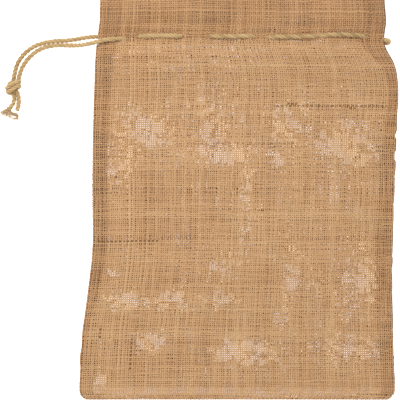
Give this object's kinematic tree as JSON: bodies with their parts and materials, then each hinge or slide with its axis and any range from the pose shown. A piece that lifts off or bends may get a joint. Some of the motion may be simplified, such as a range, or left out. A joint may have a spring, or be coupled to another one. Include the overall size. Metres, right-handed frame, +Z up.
{
  "type": "drawstring gift pouch",
  "caption": "Flat drawstring gift pouch of open woven jute with a doubled hem, a laced drawcord and a knotted pull end.",
  "frame": {"origin": "on the surface that the pouch lies on, under the middle of its outline; the free end of the drawcord isn't counted", "axes": "+Z up through the pouch's thickness, back to front; +Y from the bottom fold to the mouth; +X to the right of somebody looking down at the front"},
  "size_m": [0.3967, 0.404, 0.0229],
  "materials": {
    "jute_cloth": "open plain weave, matt, natural jute",
    "sewing_thread": "spun thread, matt",
    "drawcord": "soft laid cord, golden beige, slightly glossy"
  },
  "bodies": {
    "pouch": {"back_panel": "jute_cloth", "front_panel": "jute_cloth", "bottom_fold": "jute_cloth", "hem_turn_in_back": "jute_cloth", "hem_turn_in_front": "jute_cloth", "seam_allowance_left": "jute_cloth", "seam_allowance_right": "jute_cloth", "seam_thread_left": "sewing_thread", "seam_thread_right": "sewing_thread", "drawcord_front_stitch": "drawcord", "drawcord_front_run": "drawcord", "drawcord_back_run": "drawcord"},
    "mouth_corner_left": {"hem_corner_left": "jute_cloth", "hem_thread_left": "sewing_thread"},
    "mouth_corner_right": {"hem_corner_right": "jute_cloth", "hem_thread_right": "sewing_thread", "drawcord_side_loop": "drawcord"},
    "pull_end": {"strand_front": "drawcord", "strand_back": "drawcord", "knot": "drawcord", "tail_left": "drawcord", "tail_right": "drawcord", "frayed_tuft": "drawcord", "channel_cord_front": "drawcord", "channel_cord_back": "drawcord"}
  },
  "joints": [
    {"name": "cord_pull", "type": "slide", "parent": "pouch", "child": "pull_end", "axis": [-1, 0, 0], "range_m": [0, 0.05], "deforming": ["back_panel", "front_panel", "hem_turn_in_back", "hem_turn_in_front", "seam_allowance_left", "seam_allowance_right", "seam_thread_left", "seam_thread_right", "drawcord_front_stitch", "drawcord_front_run", "drawcord_back_run"]},
    {"name": "gather_left", "type": "slide", "parent": "pouch", "child": "mouth_corner_left", "axis": [1, 0, 0], "range_m": [0, 0.05]},
    {"name": "gather_right", "type": "slide", "parent": "pouch", "child": "mouth_corner_right", "axis": [-1, 0, 0], "range_m": [0, 0.05]}
  ],
  "couplings": [
    {"joint": "gather_left", "follows": "cord_pull", "ratio": 1},
    {"joint": "gather_right", "follows": "cord_pull", "ratio": 1}
  ]
}
